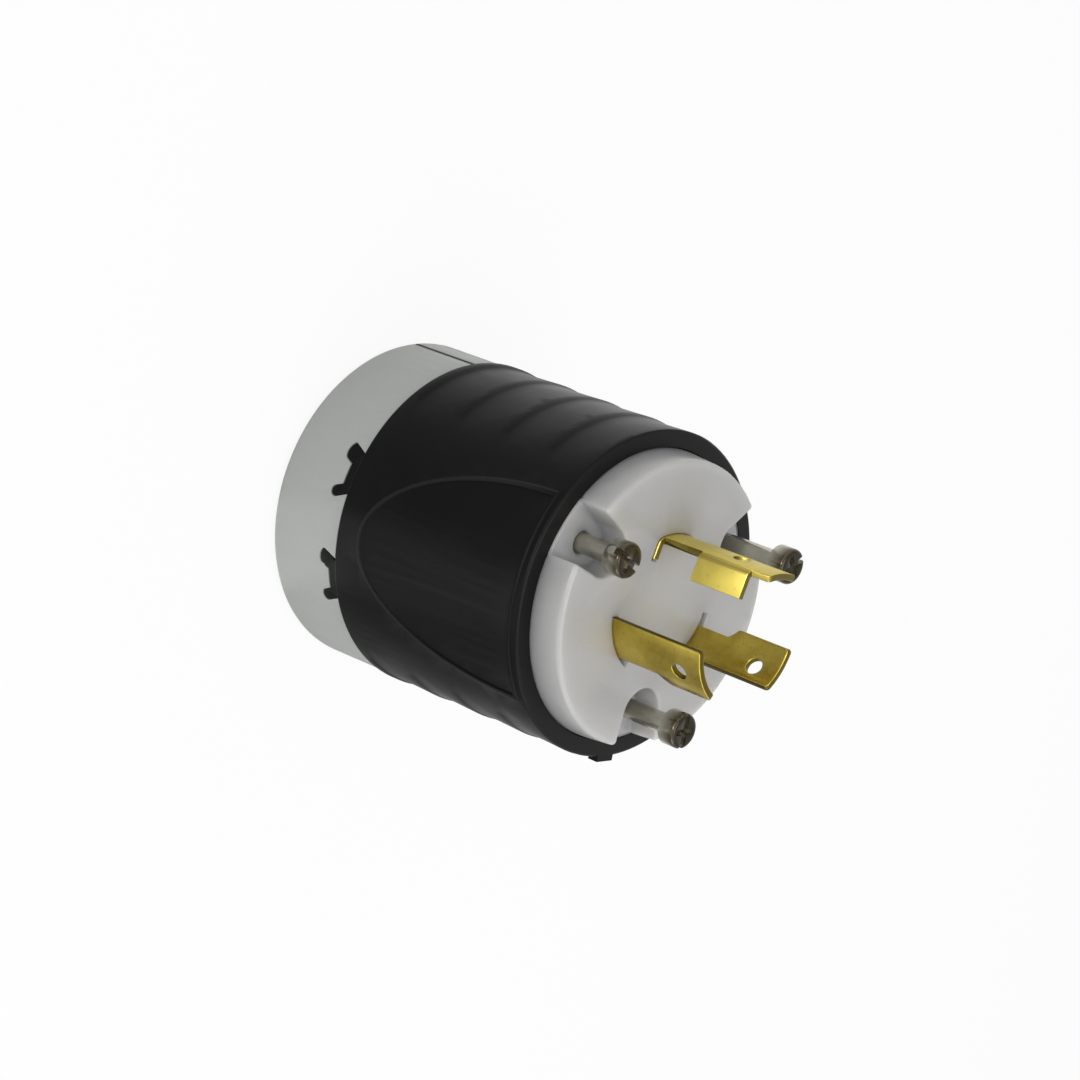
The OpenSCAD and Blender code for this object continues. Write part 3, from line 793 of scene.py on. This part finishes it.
def widen_claws(piece):
    """Makes the upper prong of each pair of claws wider, or the notch that it lies in."""
    for point in piece.data.vertices:
        x, y, z = point.co
        reach = math.hypot(x, y)
        low = CLAW_Z - z
        if not (CLAW_REACH[0] < reach < CLAW_REACH[1] and -WELD < low < CLAW_LOW):
            continue
        upper = -1 if x > 0 else 1
        for pair in (-CLAW_Y, CLAW_Y):
            apart = y - pair - upper * (CLAW_ROOT + CLAW_LEAN * low)
            if abs(apart) < PRONG_HALF + PRONG_MARGIN:
                y += PRONG_WIDER * max(-1.0, min(1.0, apart / PRONG_HALF))
                point.co.x = math.copysign(math.sqrt(reach * reach - y * y), x)
                point.co.y = y
                break


def finished_copy(node, finish, rounding, shape=None):
    """Takes a node's mesh, joins its faces, shapes and rounds it, and shades it smooth.

    rounding holds what round_edges takes after the piece, and shape changes the mesh before that.
    """
    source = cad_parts[node]
    piece = source.copy()
    piece.data = source.data.copy()
    piece.name = "finished_" + node
    piece.parent = None
    piece.matrix_world = Matrix.Identity(4)
    bpy.context.scene.collection.objects.link(piece)
    pick_alone(piece)
    bpy.ops.mesh.customdata_custom_splitnormals_clear()
    bpy.ops.object.mode_set(mode="EDIT")
    bpy.ops.mesh.select_all(action="SELECT")
    bpy.ops.mesh.remove_doubles(threshold=WELD)
    bpy.ops.mesh.dissolve_limited(angle_limit=FLAT)
    bpy.ops.object.mode_set(mode="OBJECT")
    if shape:
        shape(piece)
    round_edges(piece, *rounding)
    bpy.ops.object.shade_smooth_by_angle(angle=CREASE)
    piece.data.materials.clear()
    piece.data.materials.append(finish)
    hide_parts(node)
    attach(piece, "root")
    return piece


def mark_head(piece, node):
    """Marks the points at the top of a screw's head, where a dark reflection is painted."""
    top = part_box(node)[1][2]
    marks = piece.data.attributes.new(HEAD, "FLOAT", "POINT")
    for point in piece.data.vertices:
        marks.data[point.index].value = float(point.co.z > top - DARK_TOP)


# Operators


class PLUG_OT_stage(bpy.types.Operator):
    """Adds the camera, the floor and the studio light"""

    bl_idname = "plug.stage"
    bl_label = "Stage"

    def execute(self, context):
        scene = context.scene
        scene.view_settings.view_transform = "Standard"
        self.add_camera(scene)
        self.add_floor()
        self.add_lamps(scene)
        self.add_world(scene)
        return {"FINISHED"}

    def add_camera(self, scene):
        data = bpy.data.cameras.new("camera")
        data.sensor_width = SENSOR
        data.lens = LENS
        data.clip_start, data.clip_end = CLIP
        camera = bpy.data.objects.new("camera", data)
        scene.collection.objects.link(camera)
        ahead = Vector(CAMERA_AHEAD).normalized()
        right = ahead.cross(Vector(CAMERA_UP)).normalized()
        up = right.cross(ahead)
        turn = Matrix((right, up, -ahead)).transposed().to_4x4()
        camera.matrix_world = Matrix.Translation(CAMERA_PLACE) @ turn
        scene.camera = camera

    def add_floor(self):
        bpy.ops.object.select_all(action="DESELECT")
        bpy.ops.mesh.primitive_plane_add(size=FLOOR_SIZE, location=(0, 0, 0))
        floor = bpy.context.active_object
        floor.name = "floor"
        floor.data.materials.append(self.floor_finish())

    def floor_finish(self):
        """Matt white keeping the shadow; reflections see a painted bright side and glint band."""
        finish = bpy.data.materials.new("floor_finish")
        finish.use_nodes = True
        tree = finish.node_tree
        tree.nodes.clear()
        link = tree.links.new
        out = put(tree, "ShaderNodeOutputMaterial", (700, 0))
        matt = put(tree, "ShaderNodeBsdfDiffuse", (200, 100), Color=(*colours().floor, 1))
        lit = put(tree, "ShaderNodeEmission", (200, -80), Color=(1, 1, 1, 1))
        path = put(tree, "ShaderNodeLightPath", (-800, 300))
        plain = put_math(tree, "ADD", (-500, 360), clamp=True)
        shown = put_math(tree, "MULTIPLY", (-300, 360), FLOOR_SHOWN)
        shiny = put_math(tree, "MULTIPLY", (-300, 200), FLOOR_SHINE)
        share = put_math(tree, "ADD", (0, 300), clamp=True)
        spot = put(tree, "ShaderNodeTexCoord", (-1000, -120))
        # Painted reflection: for reflections the floor glows brighter on one side
        below = put_vector_math(tree, "SUBTRACT", (-800, -120), SHINE_FROM)
        aim = put_vector_math(tree, "NORMALIZE", (-600, -120))
        side = put_vector_math(tree, "DOT_PRODUCT", (-400, -120), PAINTED_SHINE_SIDE)
        fade = put(
            tree, "ShaderNodeMapRange", (-200, -120), {"interpolation_type": "SMOOTHSTEP"},
            From_Min=-0.5, From_Max=0.5, To_Min=SHINE[0], To_Max=SHINE[1]
        )
        # Painted glint: for reflections the floor glows in a narrow band
        around = put_vector_math(tree, "NORMALIZE", (-800, -360))
        toward = put_vector_math(tree, "DOT_PRODUCT", (-600, -360), PAINTED_GLINT_BAND)
        glint_band = put(
            tree, "ShaderNodeMapRange", (-400, -360), {"interpolation_type": "SMOOTHSTEP"},
            From_Min=PAINTED_GLINT_EDGE[0], From_Max=PAINTED_GLINT_EDGE[1]
        )
        bright = put_math(tree, "MAXIMUM", (0, -240))
        glow = put(tree, "ShaderNodeMix", (200, -240), {"data_type": "FLOAT"}, B=1.0)
        mix = put(tree, "ShaderNodeMixShader", (450, 0))
        link(path.outputs["Is Camera Ray"], plain.inputs[0])
        link(path.outputs["Is Transmission Ray"], plain.inputs[1])
        link(path.outputs["Is Glossy Ray"], shiny.inputs[0])
        link(plain.outputs["Value"], shown.inputs[0])
        link(shown.outputs["Value"], share.inputs[0])
        link(shiny.outputs["Value"], share.inputs[1])
        link(spot.outputs["Object"], below.inputs[0])
        link(below.outputs["Vector"], aim.inputs[0])
        link(aim.outputs["Vector"], side.inputs[0])
        link(side.outputs["Value"], fade.inputs["Value"])
        link(spot.outputs["Object"], around.inputs[0])
        link(around.outputs["Vector"], toward.inputs[0])
        link(toward.outputs["Value"], glint_band.inputs["Value"])
        link(fade.outputs["Result"], bright.inputs[0])
        link(glint_band.outputs["Result"], bright.inputs[1])
        link(plain.outputs["Value"], glow.inputs["Factor"])
        link(bright.outputs["Value"], glow.inputs["A"])
        link(glow.outputs["Result"], lit.inputs["Strength"])
        link(share.outputs["Value"], mix.inputs["Fac"])
        link(matt.outputs["BSDF"], mix.inputs[1])
        link(lit.outputs["Emission"], mix.inputs[2])
        link(mix.outputs["Shader"], out.inputs["Surface"])
        return finish

    def add_lamp(self, scene, aim, name, place, width, power):
        data = bpy.data.lights.new(name, "AREA")
        data.shape = "DISK"
        data.size = width
        data.energy = power
        lamp = bpy.data.objects.new(name, data)
        scene.collection.objects.link(lamp)
        lamp.location = place
        lamp.rotation_euler = (Vector(aim) - Vector(place)).to_track_quat("-Z", "Y").to_euler()
        return lamp

    def add_lamps(self, scene):
        for entry in LAMPS:
            self.add_lamp(scene, LAMPS_AIM, *entry)
        lamp = self.add_lamp(scene, BLADE_LAMP_AIM, *BLADE_LAMP)
        lamp.light_linking.receiver_collection = bpy.data.collections.new(LINKED)

    def add_world(self, scene):
        world = bpy.data.worlds.new("studio")
        scene.world = world
        world.use_nodes = True
        tree = world.node_tree
        tree.nodes.clear()
        link = tree.links.new
        out = put(tree, "ShaderNodeOutputWorld", (600, 0))
        soft = put(tree, "ShaderNodeBackground", (0, 100), Color=(1, 1, 1, 1), Strength=WORLD_LIGHT)
        plain = put(tree, "ShaderNodeBackground", (0, -80), Color=(1, 1, 1, 1), Strength=1.0)
        path = put(tree, "ShaderNodeLightPath", (-600, 200))
        seen = put_math(tree, "ADD", (-300, 240), clamp=True)
        also = put_math(tree, "ADD", (-100, 240), clamp=True)
        mix = put(tree, "ShaderNodeMixShader", (300, 0))
        link(path.outputs["Is Camera Ray"], seen.inputs[0])
        link(path.outputs["Is Transmission Ray"], seen.inputs[1])
        link(seen.outputs["Value"], also.inputs[0])
        link(path.outputs["Is Glossy Ray"], also.inputs[1])
        link(also.outputs["Value"], mix.inputs["Fac"])
        link(soft.outputs["Background"], mix.inputs[1])
        link(plain.outputs["Background"], mix.inputs[2])
        link(mix.outputs["Shader"], out.inputs["Surface"])


class PLUG_OT_grip_shell(bpy.types.Operator):
    """Finishes the black grip shell"""

    bl_idname = "plug.grip_shell"
    bl_label = "Grip shell"

    def rounded(self, edge):
        """The bead and the claws are rounded; the nub, the first scoops and the bore stay crisp."""
        middle = middle_of(edge)
        nub = middle.y < NUB[0] and middle.z > NUB[1]
        scoop = abs(middle.x) < FIRST_SCOOPS[0] and middle.z < FIRST_SCOOPS[1]
        outside = math.hypot(middle.x, middle.y) > SHELL_BORE
        return float(outside and not nub and not scoop)

    def execute(self, context):
        rounding = (sizes().shell_edge, 3, self.rounded)
        finished_copy("grip_shell", black_nylon(), rounding, shape=widen_claws)
        return {"FINISHED"}


class PLUG_OT_clamp(bpy.types.Operator):
    """Finishes the two halves of the cord clamp and the grommet"""

    bl_idname = "plug.clamp"
    bl_label = "Cord clamp"

    def execute(self, context):
        rounding = (sizes().clamp_edge,)
        for node in ("clamp_fixed_half", "clamp_moving_half"):
            finished_copy(node, clamp_nylon(), rounding, shape=widen_claws)
        paint("cord_grommet", rubber())
        return {"FINISHED"}


class PLUG_OT_face(bpy.types.Operator):
    """Finishes the face that holds the blades, and the retainer behind it"""

    bl_idname = "plug.face"
    bl_label = "Face"

    def rounded(self, edge):
        """The notches have soft edges, the blade slots crisp ones, and the inside none."""
        middle = middle_of(edge)
        if middle.z < FACE_LOW:
            return 0.0
        return 1.0 if math.hypot(middle.x, middle.y) > SLOTS_REACH else SLOT_SHARE

    def execute(self, context):
        rounding = (sizes().notch_edge, 4, self.rounded)
        finished_copy("front_housing", face_nylon(), rounding)
        paint("blade_retainer", face_nylon())
        return {"FINISHED"}


class PLUG_OT_blades(bpy.types.Operator):
    """Finishes the three stamped blades"""

    bl_idname = "plug.blades"
    bl_label = "Blades"

    def rounded(self, edge):
        """The blades are rounded in front of the face."""
        return float(middle_of(edge).z > BLADE_LOW)

    def execute(self, context):
        rounding = (sizes().blade_edge, 3, self.rounded)
        for node in ("neutral_blade", "line_blade"):
            finished_copy(node, brass(), rounding)
        ground = finished_copy("ground_blade", ground_brass(), rounding)
        bpy.data.collections[LINKED].objects.link(ground)
        return {"FINISHED"}


class PLUG_OT_screws(bpy.types.Operator):
    """Finishes the assembly screws and the clamp's screws and nuts"""

    bl_idname = "plug.screws"
    bl_label = "Screws"

    def execute(self, context):
        rounding = (sizes().screw_edge,)
        for number in NUMBERS:
            node = f"assembly_screw_{number}"
            mark_head(finished_copy(node, nickel(), rounding), node)
        for side in CLAMP_SIDES:
            finished_copy(f"clamp_screw_{side}", nickel(), rounding)
            paint(f"clamp_nut_{side}", nickel())
        return {"FINISHED"}


class PLUG_OT_terminals(bpy.types.Operator):
    """Finishes the terminal screws, the pressure plates and the threaded inserts"""

    bl_idname = "plug.terminals"
    bl_label = "Terminals"

    def execute(self, context):
        for contact in CONTACTS:
            paint(f"{contact}_terminal_screw", nickel())
            paint(f"{contact}_pressure_plate", brass())
        for number in NUMBERS:
            paint(f"threaded_insert_{number}", brass())
        return {"FINISHED"}


STEPS = (
    PLUG_OT_stage,
    PLUG_OT_grip_shell,
    PLUG_OT_clamp,
    PLUG_OT_face,
    PLUG_OT_blades,
    PLUG_OT_screws,
    PLUG_OT_terminals,
)


class PLUG_PT_panel(bpy.types.Panel):
    """Lists the sizes, the colours and the steps that dress the plug"""

    bl_idname = "PLUG_PT_panel"
    bl_label = "Twist-lock plug"
    bl_space_type = "VIEW_3D"
    bl_region_type = "UI"
    bl_category = "Plug"

    def draw(self, context):
        layout = self.layout
        for group in (context.scene.plug_sizes, context.scene.plug_colours):
            box = layout.box()
            for name in group.bl_rna.properties.keys():
                if name not in ("rna_type", "name"):
                    box.prop(group, name)
        for step in STEPS:
            layout.operator(step.bl_idname)


CLASSES = (PlugSizes, PlugColours, *STEPS, PLUG_PT_panel)


def register():
    for entry in CLASSES:
        bpy.utils.register_class(entry)
    bpy.types.Scene.plug_sizes = bpy.props.PointerProperty(type=PlugSizes)
    bpy.types.Scene.plug_colours = bpy.props.PointerProperty(type=PlugColours)


def unregister():
    del bpy.types.Scene.plug_colours
    del bpy.types.Scene.plug_sizes
    for entry in reversed(CLASSES):
        bpy.utils.unregister_class(entry)


def main():
    register()
    for step in STEPS:
        family, name = step.bl_idname.split(".")
        getattr(getattr(bpy.ops, family), name)()


if __name__ == "__main__":
    main()
